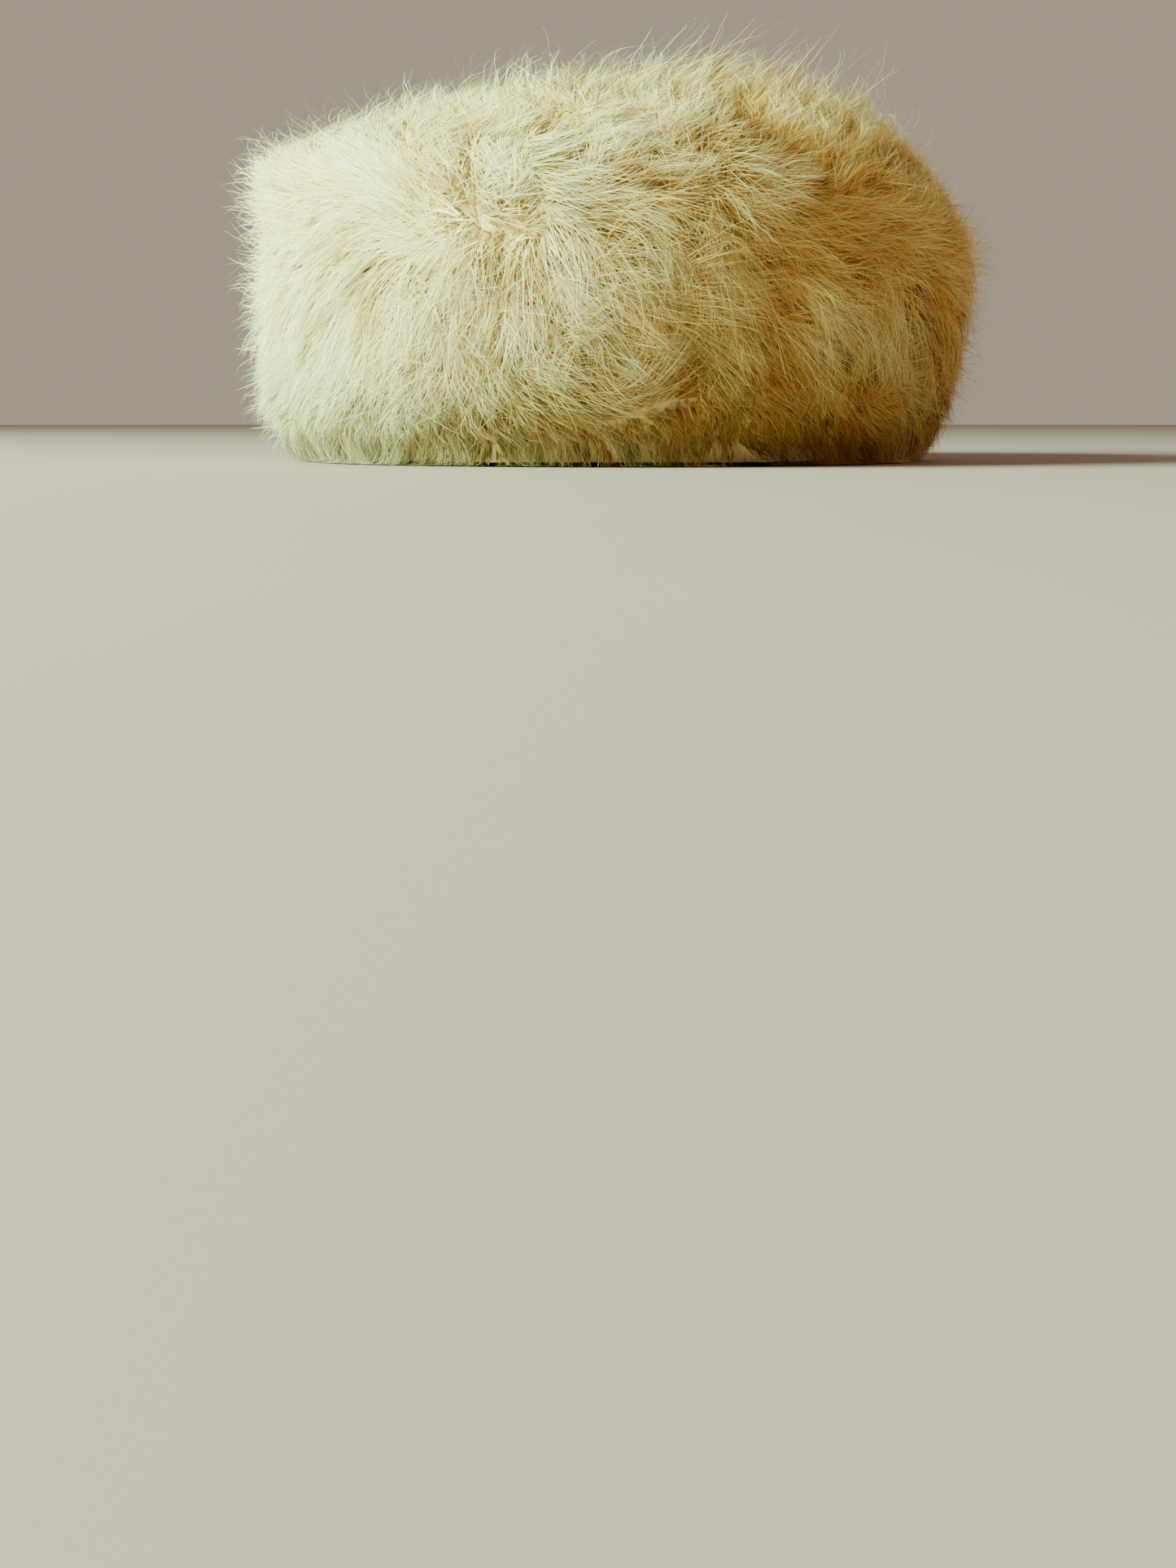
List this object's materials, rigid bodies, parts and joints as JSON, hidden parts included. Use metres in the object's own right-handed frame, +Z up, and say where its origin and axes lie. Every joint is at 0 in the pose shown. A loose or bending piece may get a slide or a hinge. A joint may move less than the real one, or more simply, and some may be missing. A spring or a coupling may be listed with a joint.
{
  "type": "fur hat",
  "caption": "Round brimless hat in deep cream fur, with a domed crown, an open head hollow and a narrow brown band round the rim.",
  "frame": {"origin": "under the middle of the hat, on the surface that its fringe rests on", "axes": "+Z up through the crown, the hat's front towards -Y, +X on the right of someone who looks at the front"},
  "size_m": [0.2262, 0.2468, 0.1211],
  "materials": {
    "cream_fur": "long, soft, combed pile, pale at the tips and golden towards the roots",
    "brown_band": "ribbed matt weave"
  },
  "bodies": {
    "root": {"pelt_front_left": "cream_fur", "pelt_front_right": "cream_fur", "pelt_back_right": "cream_fur", "pelt_back_left": "cream_fur", "pelt_crown": "cream_fur", "rim_band": "brown_band"}
  },
  "joints": []
}
